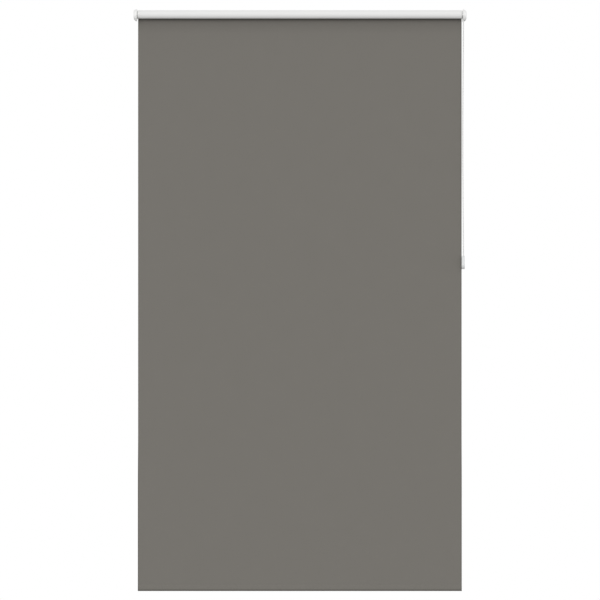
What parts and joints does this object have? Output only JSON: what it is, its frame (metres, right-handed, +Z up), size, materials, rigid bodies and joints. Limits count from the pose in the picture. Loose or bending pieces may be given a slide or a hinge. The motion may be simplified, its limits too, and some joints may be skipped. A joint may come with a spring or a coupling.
{
  "type": "roller blind",
  "caption": "Wall-mounted roller blind: fabric on a tube between two covered brackets, with a bead-chain clutch, a spring-loaded idle end, a bottom bar and a chain tensioner.",
  "frame": {"origin": "on the wall plane at the height of the roller's axis, at the centre of the brackets' four wall screws", "axes": "+Z up, +Y into the wall, +X towards the chain side, which is the right when seen from the room"},
  "size_m": [1.3, 0.053, 2.274],
  "materials": {
    "blind_fabric": "fine plain weave, matt, white coating on the window side",
    "coated_fabric": "white blackout coating, matt",
    "white_plastic": "moulded, satin",
    "grey_plastic": "moulded, matt",
    "clear_plastic": "milky translucent moulding",
    "chain_plastic": "smooth moulded beads",
    "chain_cord": "fine twisted polyester cord",
    "bracket_steel": "white powder coat",
    "zinc_steel": "zinc plated",
    "spring_steel": "drawn spring wire",
    "tube_aluminium": "mill finish, drawn",
    "bar_aluminium": "mill finish, extruded",
    "adhesive_tape": "double-sided tape"
  },
  "bodies": {
    "root": {"idle_bracket": "bracket_steel", "idle_bush": "white_plastic", "idle_cover": "white_plastic", "control_bracket": "bracket_steel", "control_cover": "white_plastic", "clutch_housing": "white_plastic", "clutch_core": "grey_plastic", "core_retainer": "zinc_steel", "core_screw": "zinc_steel", "key_clip": "zinc_steel", "fabric_panel": "blind_fabric", "chain_cord": "chain_cord", "chain_beads": "chain_plastic", "tensioner_body": "clear_plastic", "tensioner_cover": "clear_plastic", "tensioner_axle": "zinc_steel", "tensioner_screws": "zinc_steel"},
    "roller": {"roller_tube": "tube_aluminium", "fabric_tape": "adhesive_tape", "fabric_roll": "coated_fabric", "drive_sleeve": "white_plastic", "chain_sprocket": "white_plastic", "brake_springs": "spring_steel", "idle_plug": "white_plastic", "plug_cap": "white_plastic", "pin_spring": "spring_steel"},
    "idle_pin": {"idle_pin": "zinc_steel"},
    "bottom_rail": {"hem_pocket": "blind_fabric", "bottom_bar": "bar_aluminium", "bottom_cap_left": "white_plastic", "bottom_cap_right": "white_plastic"},
    "tensioner_wheel": {"tensioner_wheel": "white_plastic"}
  },
  "joints": [
    {"name": "roller_turn", "type": "hinge", "parent": "root", "child": "roller", "pos_m": [0, -0.03, 0], "axis": [1, 0, 0], "range_deg": [0, 6840], "deforming": ["chain_cord", "chain_beads"]},
    {"name": "blind_lift", "type": "slide", "parent": "root", "child": "bottom_rail", "axis": [0, 0, 1], "range_m": [0, 2.1789], "deforming": ["fabric_panel"]},
    {"name": "tensioner_wheel_turn", "type": "hinge", "parent": "root", "child": "tensioner_wheel", "pos_m": [0, -0.03, -0.978], "axis": [1, 0, 0], "range_deg": [0, 6840]},
    {"name": "idle_pin_retract", "type": "slide", "parent": "roller", "child": "idle_pin", "axis": [1, 0, 0], "range_m": [0, 0.0078], "stiffness_N_per_m": 400, "springref_m": -0.01, "deforming": ["pin_spring"]}
  ],
  "couplings": [
    {"joint": "blind_lift", "follows": "roller_turn", "m_per_rad": 0.01825},
    {"joint": "tensioner_wheel_turn", "follows": "roller_turn", "ratio": 1}
  ]
}
